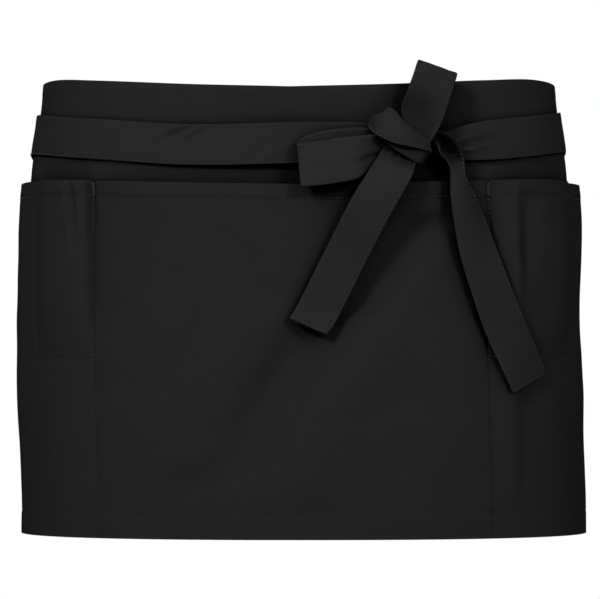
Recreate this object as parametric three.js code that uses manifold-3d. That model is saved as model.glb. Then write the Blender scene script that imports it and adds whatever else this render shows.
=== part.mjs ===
// Short waist apron of black cotton twill, in the shape it takes on a wearer: one panel round the
// front and the sides, a pocket panel sewn over its lower part, and two long ties that cross behind
// the back and are knotted in a bow on the front.
// Millimetres. X runs to the right as seen from the front, Y to the back and Z up.
// The origin is the middle of the waist, level with the middle of the tied belt.
import * as THREE from "three";
import { mergeVertices } from "three/addons/utils/BufferGeometryUtils.js";
import Module from "manifold-3d";

const wasm = await Module();
wasm.setup();

// Cloth
const clothThickness = 1.2;
const layerGap = 0.35; // free space between two layers that lie on each other

// Wearer, as the section that the cloth goes round
const hipHalfWidth = 190;
const hipHalfDepth = 117;
const sectionFullness = 2.35; // 2 is an ellipse, more is squarer

// Apron panel, as cut flat
const apronWidth = 700;
const apronHeight = 300;
const apronShift = -6; // its middle sits beside the wearer's middle
const waistAboveBelt = 34; // the waist edge at the front, above the belt's middle line

// Pocket panel and its seams
const pocketDrop = 65; // from the waist edge down to the pockets' mouths
const centrePocketWidth = 268;
const leftPocketWidth = 50;
const rightPocketWidth = 78;
const sidePocketDepth = 115;
const pocketGape = 9; // how far the widest mouth stands open
const seamSlope = 4; // how far from a seam the cloth is still pulled down

// Ties
const tieWidth = 27;
const tieThickness = 1.2;
const tieRootLength = 25; // the sewn end that lies on the panel
const knotAcross = 0.379 * hipHalfWidth; // where the knot sits, to the right of the middle
const knotUp = -4;

// Folds
const foldDepth = 4;

const halfApron = apronWidth / 2;
const leftEdge = apronShift - halfApron;
const rightEdge = apronShift + halfApron;

// The wearer's section: drop is a share of apronHeight, halfWidth and shift of hipHalfWidth,
// halfDepth of hipHalfDepth.
const bodySections = [
  { drop: 0.0, halfWidth: 0.914, halfDepth: 0.9, shift: 0 },
  { drop: 0.06, halfWidth: 0.924, halfDepth: 0.91, shift: 0 },
  { drop: 0.165, halfWidth: 0.951, halfDepth: 0.93, shift: 0 },
  { drop: 0.22, halfWidth: 0.96, halfDepth: 0.942, shift: 0 },
  { drop: 0.36, halfWidth: 0.98, halfDepth: 0.965, shift: 0 },
  { drop: 0.52, halfWidth: 0.987, halfDepth: 0.98, shift: -0.002 },
  { drop: 0.68, halfWidth: 0.995, halfDepth: 0.99, shift: 0.004 },
  { drop: 0.81, halfWidth: 0.994, halfDepth: 0.996, shift: 0.01 },
  { drop: 1.0, halfWidth: 1.0, halfDepth: 1.0, shift: 0.017 },
];

// How the waist edge climbs over the sides: around is a share of halfApron, rise of apronHeight.
const waistEdge = [
  { around: 0.0, rise: 0.0 },
  { around: 0.19, rise: 0.006 },
  { around: 0.38, rise: 0.017 },
  { around: 0.5, rise: 0.022 },
  { around: 0.7, rise: 0.008 },
  { around: 1.0, rise: 0.0 },
];

// Pockets from left to right: gape is a share of pocketGape, keep the share of it that stays open
// well below the mouth, and depth is 1 where the pocket reaches the hem and 0 where it is stitched
// shut at sidePocketDepth.
const pockets = [
  { name: "left_outer", gape: 0.52, keep: 0.5, depth: 1 },
  { name: "left", gape: 0.9, keep: 0.85, depth: 0 },
  { name: "centre", gape: 1.0, keep: 0.9, depth: 1 },
  { name: "right", gape: 0.9, keep: 0.85, depth: 0 },
  { name: "right_outer", gape: 0.78, keep: 0.4, depth: 1 },
];

// Soft folds in the pocket panel. Both ends' around are shares of halfApron and drop of
// apronHeight, width is a share of tieWidth and height of foldDepth.
const pocketFolds = [
  { fromAround: 0.425, fromDrop: 0.24, toAround: 0.425, toDrop: 0.97, width: 0.32, height: 0.6 },
  { fromAround: 0.46, fromDrop: 0.22, toAround: 0.455, toDrop: 0.42, width: 0.3, height: -0.6 },
  { fromAround: 0.2, fromDrop: 0.3, toAround: -0.16, toDrop: 0.86, width: 0.9, height: -0.7 },
];

// Smooth value of one column of a table at a place along its key column.
function readTable(rows, key, column, at) {
  const last = rows.length - 1;
  if (at <= rows[0][key]) return rows[0][column];
  if (at >= rows[last][key]) return rows[last][column];
  let i = 0;
  while (at > rows[i + 1][key]) i++;
  const slope = (k) => {
    const a = rows[Math.max(k - 1, 0)];
    const b = rows[Math.min(k + 1, last)];
    return (b[column] - a[column]) / (b[key] - a[key]);
  };
  const span = rows[i + 1][key] - rows[i][key];
  const t = (at - rows[i][key]) / span;
  const ease = t * t * (3 - 2 * t);
  return (
    rows[i][column] * (1 - ease) +
    rows[i + 1][column] * ease +
    span * (slope(i) * t * (1 - t) ** 2 - slope(i + 1) * t * t * (1 - t))
  );
}

const clamp01 = (t) => Math.min(1, Math.max(0, t));
const smooth = (t) => clamp01(t) ** 2 * (3 - 2 * clamp01(t));
const mix = (a, b, t) => a + (b - a) * t;

// The wearer's section at one drop, walked round by its length from the middle of the front.
const sectionSteps = 1440;
const sectionCache = new Map();
function sectionAt(drop) {
  const share = clamp01(drop / apronHeight);
  const key = share.toFixed(5);
  if (sectionCache.has(key)) return sectionCache.get(key);
  const halfWidth = hipHalfWidth * readTable(bodySections, "drop", "halfWidth", share);
  const halfDepth = hipHalfDepth * readTable(bodySections, "drop", "halfDepth", share);
  const shift = hipHalfWidth * readTable(bodySections, "drop", "shift", share);
  const power = 2 / sectionFullness;
  const points = [];
  let length = 0;
  for (let i = 0; i <= sectionSteps; i++) {
    const angle = (Math.PI * i) / sectionSteps;
    const c = Math.cos(angle);
    const x = halfWidth * Math.abs(Math.sin(angle)) ** power;
    const y = -halfDepth * Math.sign(c) * Math.abs(c) ** power;
    if (i) length += Math.hypot(x - points[i - 1].x, y - points[i - 1].y);
    points.push({ x, y, length });
  }
  const section = { halfWidth, halfDepth, shift, points, halfRound: length };
  sectionCache.set(key, section);
  return section;
}

// Point of the section, and its outward normal, a length round from the middle of the front.
function onSection(section, around) {
  const wrapped = THREE.MathUtils.euclideanModulo(around + section.halfRound, 2 * section.halfRound);
  const signed = wrapped - section.halfRound;
  const side = signed < 0 ? -1 : 1;
  const length = Math.abs(signed);
  let low = 0;
  let high = section.points.length - 1;
  while (high - low > 1) {
    const middle = (low + high) >> 1;
    if (section.points[middle].length < length) low = middle;
    else high = middle;
  }
  const a = section.points[low];
  const b = section.points[high];
  const t = (length - a.length) / Math.max(b.length - a.length, 1e-9);
  const x = mix(a.x, b.x, t);
  const y = mix(a.y, b.y, t);
  const power = sectionFullness - 1;
  const nx = (x / section.halfWidth) ** power / section.halfWidth;
  const ny = (Math.sign(y) * (Math.abs(y) / section.halfDepth) ** power) / section.halfDepth;
  const size = Math.hypot(nx, ny);
  return { x: side * x + section.shift, y, nx: (side * nx) / size, ny: ny / size };
}

// Height of the cloth at a place of the flat panel.
function heightAt(around, drop) {
  const share = Math.min(1, Math.abs(around - apronShift) / halfApron);
  const rise = apronHeight * readTable(waistEdge, "around", "rise", share);
  return waistAboveBelt - drop + rise * (1 - clamp01(drop / apronHeight)) ** 2;
}

// Place down the flat panel that hangs at a height.
function dropAt(around, z) {
  let drop = waistAboveBelt - z;
  for (let i = 0; i < 6; i++) drop += heightAt(around, drop) - z;
  return drop;
}

// Point of the flat panel's place (around, drop), standing out from the wearer's section.
function onPanel(around, drop, out) {
  const s = onSection(sectionAt(drop), around);
  return new THREE.Vector3(s.x + s.nx * out, s.y + s.ny * out, heightAt(around, drop));
}

const seams = [
  leftEdge,
  apronShift - centrePocketWidth / 2 - leftPocketWidth,
  apronShift - centrePocketWidth / 2,
  apronShift + centrePocketWidth / 2,
  apronShift + centrePocketWidth / 2 + rightPocketWidth,
  rightEdge,
];

// How far the pocket panel's inner face stands off the apron panel's outer face.
function pocketStandOff(around, drop) {
  const below = drop - pocketDrop;
  const full = apronHeight - pocketDrop;
  let k = 0;
  while (k < pockets.length - 1 && around > seams[k + 1]) k++;
  const pocket = pockets[k];
  const share = clamp01((around - seams[k]) / (seams[k + 1] - seams[k]));
  const across = 1 - Math.abs(2 * share - 1) ** 4;
  const deep = clamp01(below / (pocket.depth ? full : sidePocketDepth));
  const mouth = Math.exp(-((below / sidePocketDepth / 0.4) ** 2));
  const down = mix(mouth, 1, pocket.keep) * (1 - deep ** (pocket.depth ? 2 : 4));
  return layerGap + pocketGape * pocket.gape * across * down;
}

// Height of the pocket panel's soft folds at a place.
function foldHeight(around, drop) {
  let height = 0;
  for (const f of pocketFolds) {
    const t = clamp01((drop / apronHeight - f.fromDrop) / (f.toDrop - f.fromDrop));
    const along = smooth(4 * Math.min(t, 1 - t));
    const middle = apronShift + halfApron * mix(f.fromAround, f.toAround, t);
    height += f.height * along * Math.exp(-(((around - middle) / (f.width * tieWidth)) ** 2));
  }
  return foldDepth * height;
}

// The folds lift the pocket panel, and sink it only as far as the room behind it allows.
function pocketInner(around, drop) {
  const room = pocketStandOff(around, drop);
  return clothThickness + Math.max(layerGap, room + foldHeight(around, drop));
}

// Depth of the outermost panel under a place of the front view, eased over the pockets' mouths.
function frontAt(x, z) {
  const drop = THREE.MathUtils.clamp(waistAboveBelt - z, 0, apronHeight);
  const section = sectionAt(drop);
  const reach = section.halfRound / 2;
  const at = (around) => {
    const s = onSection(section, around);
    const mouth = smooth((drop - pocketDrop) / (pocketDrop / 4) + 1);
    const standing = Math.max(drop, pocketDrop);
    const out = clothThickness + mouth * pocketInner(around, standing);
    return { x: s.x + s.nx * out, y: s.y + s.ny * out };
  };
  let low = -reach;
  let high = reach;
  for (let i = 0; i < 40; i++) {
    const middle = (low + high) / 2;
    if (at(middle).x < x) low = middle;
    else high = middle;
  }
  return at(low).y;
}

// Closed body between two grids of points, outer in front.
function sheetBody(outer, inner) {
  const rows = outer.length;
  const columns = outer[0].length;
  const points = [...outer.flat(), ...inner.flat()];
  const behind = rows * columns;
  const faces = [];
  const quad = (a, b, c, d) => faces.push(a, b, c, a, c, d);
  const id = (i, j) => i * columns + j;
  for (let i = 0; i < rows - 1; i++)
    for (let j = 0; j < columns - 1; j++) {
      quad(id(i, j), id(i + 1, j), id(i + 1, j + 1), id(i, j + 1));
      const [a, b, c, d] = [id(i, j), id(i, j + 1), id(i + 1, j + 1), id(i + 1, j)];
      faces.push(behind + a, behind + c, behind + d, behind + a, behind + b, behind + c);
    }
  for (let i = 0; i < rows - 1; i++) {
    quad(id(i, 0), behind + id(i, 0), behind + id(i + 1, 0), id(i + 1, 0));
    const end = columns - 1;
    quad(id(i + 1, end), behind + id(i + 1, end), behind + id(i, end), id(i, end));
  }
  for (let j = 0; j < columns - 1; j++) {
    quad(id(0, j + 1), behind + id(0, j + 1), behind + id(0, j), id(0, j));
    const end = rows - 1;
    quad(id(end, j), behind + id(end, j), behind + id(end, j + 1), id(end, j + 1));
  }
  const geometry = new THREE.BufferGeometry().setFromPoints(points).setIndex(faces);
  return solidFrom(geometry);
}

// manifold-3d solid of a closed geometry, with its faces turned outwards.
function solidFrom(geometry) {
  const bare = geometry.clone();
  bare.deleteAttribute("normal");
  bare.deleteAttribute("uv");
  const merged = mergeVertices(bare, 1e-4);
  const make = (triVerts) =>
    new wasm.Manifold(
      new wasm.Mesh({ numProp: 3, vertProperties: merged.attributes.position.array, triVerts }),
    );
  const solid = make(new Uint32Array(merged.index.array));
  return solid.volume() > 0 ? solid : make(new Uint32Array(merged.index.array).reverse());
}

function geometryFrom(solid) {
  const mesh = solid.getMesh();
  const points = new Float32Array(mesh.numVert * 3);
  for (let i = 0; i < mesh.numVert; i++)
    points.set(mesh.vertProperties.subarray(i * mesh.numProp, i * mesh.numProp + 3), i * 3);
  const geometry = new THREE.BufferGeometry();
  geometry.setAttribute("position", new THREE.BufferAttribute(points, 3));
  geometry.setIndex(new THREE.BufferAttribute(mesh.triVerts, 1));
  geometry.computeVertexNormals();
  return geometry;
}

const largestBody = (solid) =>
  solid.decompose().sort((a, b) => b.volume() - a.volume())[0];

// Panels

// Steps of at most a given size between fixed places.
function stepsBetween(places, size) {
  const steps = [places[0]];
  for (let k = 1; k < places.length; k++) {
    const count = Math.max(1, Math.ceil((places[k] - places[k - 1]) / size));
    for (let i = 1; i <= count; i++) steps.push(mix(places[k - 1], places[k], i / count));
  }
  return steps;
}

const columnStep = 13;
const rowStep = 26;
const columnPlaces = seams.flatMap((s, i) =>
  i === 0 || i === seams.length - 1 ? [s] : [s - seamSlope, s, s + seamSlope],
);
const panelColumns = stepsBetween(columnPlaces, columnStep);
const sideBottom = pocketDrop + sidePocketDepth;
const nearBottom = sideBottom - sidePocketDepth / 8;
const pocketRows = stepsBetween([pocketDrop, nearBottom, sideBottom, apronHeight], rowStep);
const apronRows = [...stepsBetween([0, pocketDrop], rowStep).slice(0, -1), ...pocketRows];

function clothPanel(rows, innerOut) {
  const grid = (extra) =>
    rows.map((drop) =>
      panelColumns.map((around) => onPanel(around, drop, innerOut(around, drop) + extra)),
    );
  return sheetBody(grid(clothThickness), grid(0));
}

const apronPanel = clothPanel(apronRows, () => 0);
const pocketPanel = clothPanel(pocketRows, pocketInner);

// Ribbons

// Closed body of a cloth strip. Each row is a section across it with its two edges and its middle.
// A grown strip is larger than the plain one by grow on every side, and twice that at its ends.
function ribbonBody(rows, { thickness = tieThickness, grow = 0, stepsPerRow = 3, across = 4 } = {}) {
  const curve = (name) => {
    const points = rows.map((r) => r[name].clone());
    const last = points.length - 1;
    const beyond = (a, b) => a.clone().addScaledVector(a.clone().sub(b).normalize(), 2 * grow);
    [points[0], points[last]] = [
      beyond(points[0], points[1]),
      beyond(points[last], points[last - 1]),
    ];
    return new THREE.CatmullRomCurve3(points, false, "catmullrom", 0.5);
  };
  const [left, middle, right] = ["left", "middle", "right"].map(curve);
  const count = (rows.length - 1) * stepsPerRow;
  const surface = (s, q) => {
    const t = clamp01(s);
    const [l, m, r] = [left.getPoint(t), middle.getPoint(t), right.getPoint(t)];
    const wide = Math.max(l.distanceTo(r), 1e-6);
    const u = mix(-grow / wide, 1 + grow / wide, q);
    const bow = m.clone().multiplyScalar(2).addScaledVector(l, -0.5).addScaledVector(r, -0.5);
    return l
      .multiplyScalar((1 - u) ** 2)
      .addScaledVector(bow, 2 * u * (1 - u))
      .addScaledVector(r, u * u);
  };
  const normalAt = (s, q) => {
    const d = 1e-3;
    const along = surface(s + d, q).sub(surface(s - d, q));
    const wide = surface(s, q + d).sub(surface(s, q - d));
    return along.cross(wide).normalize();
  };
  const half = thickness / 2 + grow;
  const side = (sign) =>
    Array.from({ length: count + 1 }, (_, i) =>
      Array.from({ length: across + 1 }, (_, j) =>
        surface(i / count, j / across).addScaledVector(normalAt(i / count, j / across), sign * half),
      ),
    );
  return sheetBody(side(1), side(-1));
}

// The belt: ties round the wearer

const beltDrop = waistAboveBelt;
const beltSection = sectionAt(beltDrop);
const beltHalfRound = beltSection.halfRound;
const knotAround = (() => {
  let around = 0;
  while (onSection(beltSection, around).x < knotAcross) around += 0.25;
  return around;
})();

// Point of the belt: up and out are shares of tieWidth.
function onBelt(around, up, out) {
  const z = up * tieWidth;
  const s = onSection(sectionAt(dropAt(around, z)), around);
  const stand = clothThickness + layerGap + tieThickness / 2 + out * tieWidth;
  return new THREE.Vector3(s.x + s.nx * stand, s.y + s.ny * stand, z);
}

// The visible stretch runs from the knot to the panel's side edge, the hidden one on across the
// back to the tie's sewn root. along is a share of that stretch, the rest are shares of tieWidth.
const leftWrapFront = [
  { along: 0.0, up: -0.1, out: 0.16, width: 0.92 },
  { along: 0.15, up: -0.13, out: 0.2, width: 1.0 },
  { along: 0.33, up: -0.17, out: 0.09, width: 1.0 },
  { along: 0.5, up: 0.01, out: 0.03, width: 1.0 },
  { along: 0.7, up: 0.15, out: 0.02, width: 1.0 },
  { along: 0.89, up: -0.38, out: 0.02, width: 1.0 },
];
const rightWrapFront = [
  { along: 0.0, up: 0.08, out: 0.1, width: 0.6 },
  { along: 0.1, up: -0.13, out: 0.12, width: 0.85 },
  { along: 0.25, up: 0.02, out: 0.05, width: 1.0 },
  { along: 0.45, up: 0.2, out: 0.02, width: 1.0 },
  { along: 0.61, up: 0.22, out: 0.02, width: 1.0 },
  { along: 0.88, up: -0.38, out: 0.02, width: 1.0 },
];
const wrapBack = [
  { along: 0.0, up: -0.38, out: 0.02, width: 1.0 },
  { along: 0.1, up: -0.36, out: 0.02, width: 1.0 },
  { along: 0.5, up: 0.17, out: 0.0, width: 1.0 },
  { along: 0.9, up: 0.7, out: 0.02, width: 1.0 },
  { along: 1.0, up: 0.72, out: 0.02, width: 1.0 },
];
const wrapStart = 0.25; // from the knot's middle to each wrap's hidden end
const crossingOut = 0.085; // how far out the tie runs that crosses over the other one
const crossingEase = 0.09; // share of the hidden stretch in which it moves out and back in

function wrapRows(front, side, outMost) {
  const knot = side * knotAround + wrapStart * tieWidth;
  const panelEdge = side < 0 ? Math.abs(leftEdge) : rightEdge;
  const otherEdge = side < 0 ? rightEdge : Math.abs(leftEdge);
  const root = 2 * beltHalfRound - otherEdge + tieRootLength;
  const rows = [];
  const add = (around, r, extraOut) => {
    const at = (offset) => onBelt(side * around, r.up + offset, r.out + extraOut);
    rows.push({ left: at(r.width / 2), middle: at(0), right: at(-r.width / 2) });
  };
  const bodyPlaces = (rowsOf, from, to, extra) => {
    const steps = Math.ceil(Math.abs(to - from) / columnStep);
    const first = rows.length ? 1 : 0;
    for (let i = first; i <= steps; i++) {
      const along = (i / steps) * rowsOf[rowsOf.length - 1].along;
      const r = {};
      for (const name of ["up", "out", "width"]) r[name] = readTable(rowsOf, "along", name, along);
      add(mix(from, to, i / steps), r, extra(along));
    }
  };
  const frontRows = [...front, { ...wrapBack[0], along: 1 }];
  bodyPlaces(frontRows, knot, panelEdge, () => 0);
  bodyPlaces(wrapBack, panelEdge, root, (a) => outMost * smooth(Math.min(a, 1 - a) / crossingEase));
  return rows;
}

const leftWrap = ribbonBody(wrapRows(leftWrapFront, -1, 0), { stepsPerRow: 1, across: 2 });
const rightWrap = ribbonBody(wrapRows(rightWrapFront, 1, crossingOut), {
  stepsPerRow: 1,
  across: 2,
});

// The bow

// Point near the knot. across and up are shares of tieWidth from the knot's middle, and out is a
// share of tieWidth in front of the panel under that point.
function bowPoint(across, up, out) {
  const x = knotAcross + across * tieWidth;
  const z = knotUp + up * tieWidth;
  return new THREE.Vector3(x, frontAt(x, z) - out * tieWidth, z);
}

// Rows of a bow table: L and R are the strip's two edges, belly lifts its middle.
function bowRows(table) {
  return table.map((r) => {
    const left = bowPoint(r.acrossL, r.upL, r.outL);
    const right = bowPoint(r.acrossR, r.upR, r.outR);
    const middle = left.clone().lerp(right, 0.5);
    middle.x += (r.bellyAcross ?? 0) * tieWidth;
    middle.y -= (r.bellyOut ?? 0) * tieWidth;
    return { left, middle, right };
  });
}

const leftLoopTable = [
  { acrossL: -0.6, upL: 0.2, outL: 0.5, acrossR: -0.7, upR: -0.45, outR: 0.5 },
  { acrossL: -0.85, upL: 0.21, outL: 0.6, acrossR: -0.92, upR: -0.6, outR: 0.6, bellyOut: 0.04 },
  { acrossL: -1.39, upL: 0.15, outL: 0.68, acrossR: -1.27, upR: -0.88, outR: 0.62, bellyOut: 0.1 },
  { acrossL: -2.0, upL: 0.06, outL: 0.7, acrossR: -1.86, upR: -1.0, outR: 0.62, bellyOut: 0.05 },
  { acrossL: -2.5, upL: 0.01, outL: 0.66, acrossR: -2.4, upR: -1.06, outR: 0.58 },
  { acrossL: -2.71, upL: 0.02, outL: 0.54, acrossR: -2.61, upR: -1.06, outR: 0.48 },
  { acrossL: -2.5, upL: 0.17, outL: 0.42, acrossR: -2.42, upR: -0.9, outR: 0.38 },
  { acrossL: -2.0, upL: 0.31, outL: 0.4, acrossR: -1.95, upR: -0.74, outR: 0.36 },
  { acrossL: -1.4, upL: 0.38, outL: 0.4, acrossR: -1.35, upR: -0.64, outR: 0.37 },
  { acrossL: -0.87, upL: 0.38, outL: 0.4, acrossR: -0.9, upR: -0.5, outR: 0.4 },
];

const upperLoopTable = [
  { acrossL: -0.12, upL: 0.5, outL: 0.42, acrossR: 0.46, upR: -0.12, outR: 0.52 },
  { acrossL: -0.16, upL: 0.88, outL: 0.42, acrossR: 0.76, upR: 0.38, outR: 0.62, bellyOut: -0.12 },
  { acrossL: 0.0, upL: 1.34, outL: 0.6, acrossR: 0.99, upR: 1.0, outR: 0.74, bellyOut: -0.03 },
  { acrossL: 0.12, upL: 1.67, outL: 0.66, acrossR: 1.1, upR: 1.36, outR: 0.74 },
  { acrossL: 0.22, upL: 1.97, outL: 0.58, acrossR: 1.2, upR: 1.66, outR: 0.62 },
  { acrossL: 0.25, upL: 2.04, outL: 0.44, acrossR: 1.22, upR: 1.72, outR: 0.46 },
  { acrossL: 0.22, upL: 1.93, outL: 0.3, acrossR: 1.2, upR: 1.62, outR: 0.32 },
  { acrossL: 0.08, upL: 1.5, outL: 0.2, acrossR: 1.05, upR: 1.2, outR: 0.24 },
  { acrossL: -0.05, upL: 1.05, outL: 0.18, acrossR: 0.85, upR: 0.72, outR: 0.22 },
  { acrossL: -0.05, upL: 0.7, outL: 0.2, acrossR: 0.55, upR: 0.3, outR: 0.22 },
];

const leftTailTable = [
  { acrossL: -0.5, upL: 0.05, outL: 0.46, acrossR: 0.22, upR: -0.4, outR: 0.46 },
  { acrossL: -0.8, upL: -0.42, outL: 0.72, acrossR: 0.06, upR: -0.86, outR: 0.66, bellyOut: 0.04 },
  { acrossL: -1.4, upL: -1.39, outL: 0.5, acrossR: -0.5, upR: -1.86, outR: 0.48 },
  { acrossL: -2.03, upL: -2.62, outL: 0.28, acrossR: -1.13, upR: -3.09, outR: 0.3 },
  { acrossL: -2.64, upL: -3.84, outL: 0.2, acrossR: -1.74, upR: -4.31, outR: 0.24 },
  { acrossL: -2.9, upL: -4.28, outL: 0.22, acrossR: -2.0, upR: -4.68, outR: 0.28 },
];

const rightTailTable = [
  { acrossL: 0.6, upL: 0.1, outL: 0.5, acrossR: 0.72, upR: 0.36, outR: 0.3, bellyAcross: 0.15 },
  { acrossL: 0.78, upL: -0.17, outL: 0.62, acrossR: 0.86, upR: 0.1, outR: 0.28, bellyAcross: 0.34 },
  { acrossL: 0.92, upL: -0.33, outL: 0.6, acrossR: 1.1, upR: -0.2, outR: 0.26, bellyAcross: 0.22 },
  { acrossL: 1.03, upL: -0.86, outL: 0.5, acrossR: 1.42, upR: -0.8, outR: 0.28, bellyAcross: 0.12 },
  { acrossL: 1.05, upL: -1.39, outL: 0.42, acrossR: 1.72, upR: -1.42, outR: 0.28, bellyOut: 0.2 },
  { acrossL: 1.24, upL: -2.58, outL: 0.3, acrossR: 2.12, upR: -2.42, outR: 0.24, bellyOut: 0.1 },
  { acrossL: 1.57, upL: -3.7, outL: 0.22, acrossR: 2.5, upR: -3.38, outR: 0.18 },
  { acrossL: 1.97, upL: -4.78, outL: 0.2, acrossR: 2.9, upR: -4.35, outR: 0.16 },
  { acrossL: 2.6, upL: -6.11, outL: 0.18, acrossR: 3.46, upR: -5.62, outR: 0.15 },
];

const knotOuterTable = [
  { acrossL: -1.0, upL: 0.42, outL: 0.46, acrossR: -0.86, upR: 0.68, outR: 0.46 },
  { acrossL: -0.8, upL: 0.2, outL: 0.76, acrossR: -0.66, upR: 0.72, outR: 0.64, bellyOut: 0.06 },
  { acrossL: -0.37, upL: -0.01, outL: 0.92, acrossR: -0.42, upR: 0.85, outR: 0.68, bellyOut: 0.12 },
  { acrossL: 0.05, upL: -0.1, outL: 0.94, acrossR: -0.02, upR: 0.44, outR: 0.84, bellyOut: 0.05 },
  { acrossL: 0.56, upL: -0.22, outL: 0.66, acrossR: 0.5, upR: 0.06, outR: 0.68 },
];

const knotInnerTable = [
  { acrossL: -0.8, upL: 0.18, outL: 0.6, acrossR: -0.68, upR: 0.36, outR: 0.6 },
  { acrossL: -0.39, upL: -0.12, outL: 0.76, acrossR: -0.2, upR: 0.16, outR: 0.78 },
  { acrossL: -0.02, upL: -0.36, outL: 0.72, acrossR: 0.2, upR: 0.0, outR: 0.8 },
  { acrossL: 0.24, upL: -0.5, outL: 0.6, acrossR: 0.48, upR: -0.12, outR: 0.68 },
  { acrossL: 0.38, upL: -0.48, outL: 0.42, acrossR: 0.6, upR: -0.14, outR: 0.48 },
];

// The twisted cloth inside the knot, turned by tilt (radians) in the front view
const knotCore = {
  across: -0.2,
  up: 0.12,
  out: 0.5,
  halfAcross: 0.6,
  halfUp: 0.42,
  halfOut: 0.24,
  tilt: -0.7,
};

function knotBody(grow) {
  const core = new THREE.SphereGeometry(1, 16, 10);
  core.scale(
    knotCore.halfAcross * tieWidth + grow,
    knotCore.halfOut * tieWidth + grow,
    knotCore.halfUp * tieWidth + grow,
  );
  core.rotateY(-knotCore.tilt);
  const middle = bowPoint(knotCore.across, knotCore.up, knotCore.out);
  core.translate(middle.x, middle.y, middle.z);
  return solidFrom(core)
    .add(ribbonBody(bowRows(knotOuterTable), { grow }))
    .add(ribbonBody(bowRows(knotInnerTable), { grow }));
}

const cutClear = (solid, cutters) => largestBody(cutters.reduce((s, c) => s.subtract(c), solid));

const knot = knotBody(0);
const tables = [
  ["bow_loop_upper", upperLoopTable],
  ["tie_end_left", leftTailTable],
  ["bow_loop_left", leftLoopTable],
  ["tie_end_right", rightTailTable],
];
const bowPieces = [];
const cutters = [knotBody(1.5 * layerGap)];
for (const [name, table] of tables) {
  const rows = bowRows(table);
  bowPieces.push([name, cutClear(ribbonBody(rows), cutters)]);
  cutters.push(ribbonBody(rows, { grow: layerGap }));
}

// Assembly

const twill = new THREE.MeshStandardMaterial({ color: 0x1f2020, roughness: 0.92, metalness: 0 });
const tieCloth = new THREE.MeshStandardMaterial({ color: 0x212222, roughness: 0.9, metalness: 0 });

const apron = new THREE.Group();
function addPiece(name, solid, material) {
  const mesh = new THREE.Mesh(geometryFrom(solid), material);
  mesh.name = name;
  apron.add(mesh);
}

addPiece("apron_panel", apronPanel, twill);
addPiece("pocket_panel", pocketPanel, twill);
addPiece("tie_wrap_left", cutClear(leftWrap, cutters), tieCloth);
addPiece("tie_wrap_right", cutClear(rightWrap, cutters), tieCloth);
addPiece("bow_knot", knot, tieCloth);
for (const [name, solid] of bowPieces) addPiece(name, solid, tieCloth);

export default apron;
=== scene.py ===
import math
import random

import bpy
import numpy as np
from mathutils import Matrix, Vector, noise


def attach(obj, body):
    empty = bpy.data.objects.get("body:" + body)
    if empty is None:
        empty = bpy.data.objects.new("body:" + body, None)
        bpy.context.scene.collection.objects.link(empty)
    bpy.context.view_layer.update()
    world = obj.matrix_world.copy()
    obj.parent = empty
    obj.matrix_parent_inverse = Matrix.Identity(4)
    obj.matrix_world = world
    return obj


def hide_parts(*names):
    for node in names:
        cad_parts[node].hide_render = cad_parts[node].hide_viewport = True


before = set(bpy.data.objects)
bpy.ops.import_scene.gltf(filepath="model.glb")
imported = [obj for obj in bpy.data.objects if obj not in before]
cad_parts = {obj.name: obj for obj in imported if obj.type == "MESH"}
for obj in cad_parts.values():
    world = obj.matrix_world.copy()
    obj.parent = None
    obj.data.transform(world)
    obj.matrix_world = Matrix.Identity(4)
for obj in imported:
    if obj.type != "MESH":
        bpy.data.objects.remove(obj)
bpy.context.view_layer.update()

random.seed(7)
mm = 0.001

# cloth and worn shape, mm
clothThickness = 1.2
layerGap = 0.35
hipHalfWidth = 190
hipHalfDepth = 117
sectionFullness = 2.35
apronWidth = 700
apronHeight = 300
apronShift = -6
waistAboveBelt = 34
pocketDrop = 65
centrePocketWidth = 268
leftPocketWidth = 50
rightPocketWidth = 78
sidePocketDepth = 115
pocketGape = 9
tieWidth = 27
tieRootLength = 25
knotAcross = 0.379 * hipHalfWidth
knotUp = -4
foldDepth = 4

halfApron = apronWidth / 2
leftEdge = apronShift - halfApron
rightEdge = apronShift + halfApron

bodySections = [  # drop, halfWidth, halfDepth, shift
    (0.0, 0.914, 0.9, 0), (0.06, 0.924, 0.91, 0), (0.165, 0.951, 0.93, 0),
    (0.22, 0.96, 0.942, 0), (0.36, 0.98, 0.965, 0), (0.52, 0.987, 0.98, -0.002),
    (0.68, 0.995, 0.99, 0.004), (0.81, 0.994, 0.996, 0.01), (1.0, 1.0, 1.0, 0.017),
]
waistEdge = [(0.0, 0.0), (0.19, 0.006), (0.38, 0.017), (0.5, 0.022), (0.7, 0.008), (1.0, 0.0)]
pockets = [  # gape, keep, reaches the hem
    (0.52, 0.5, True), (0.9, 0.85, False), (1.0, 0.9, True), (0.9, 0.85, False), (0.78, 0.4, True),
]
seams = [
    leftEdge,
    apronShift - centrePocketWidth / 2 - leftPocketWidth,
    apronShift - centrePocketWidth / 2,
    apronShift + centrePocketWidth / 2,
    apronShift + centrePocketWidth / 2 + rightPocketWidth,
    rightEdge,
]


def readTable(rows, column, at):
    last = len(rows) - 1
    if at <= rows[0][0]:
        return rows[0][column]
    if at >= rows[last][0]:
        return rows[last][column]
    i = 0
    while at > rows[i + 1][0]:
        i += 1

    def slope(k):
        a, b = rows[max(k - 1, 0)], rows[min(k + 1, last)]
        return (b[column] - a[column]) / (b[0] - a[0])

    span = rows[i + 1][0] - rows[i][0]
    t = (at - rows[i][0]) / span
    ease = t * t * (3 - 2 * t)
    hermite = slope(i) * t * (1 - t) ** 2 - slope(i + 1) * t * t * (1 - t)
    return rows[i][column] * (1 - ease) + rows[i + 1][column] * ease + span * hermite


def smooth(t):
    t = np.clip(t, 0, 1)
    return t * t * (3 - 2 * t)


def mix(a, b, t):
    return a + (b - a) * t


def bump(x, middle, width):  # soft hill of height 1
    return np.exp(-(((x - middle) / width) ** 2))


sectionCache = {}


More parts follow.
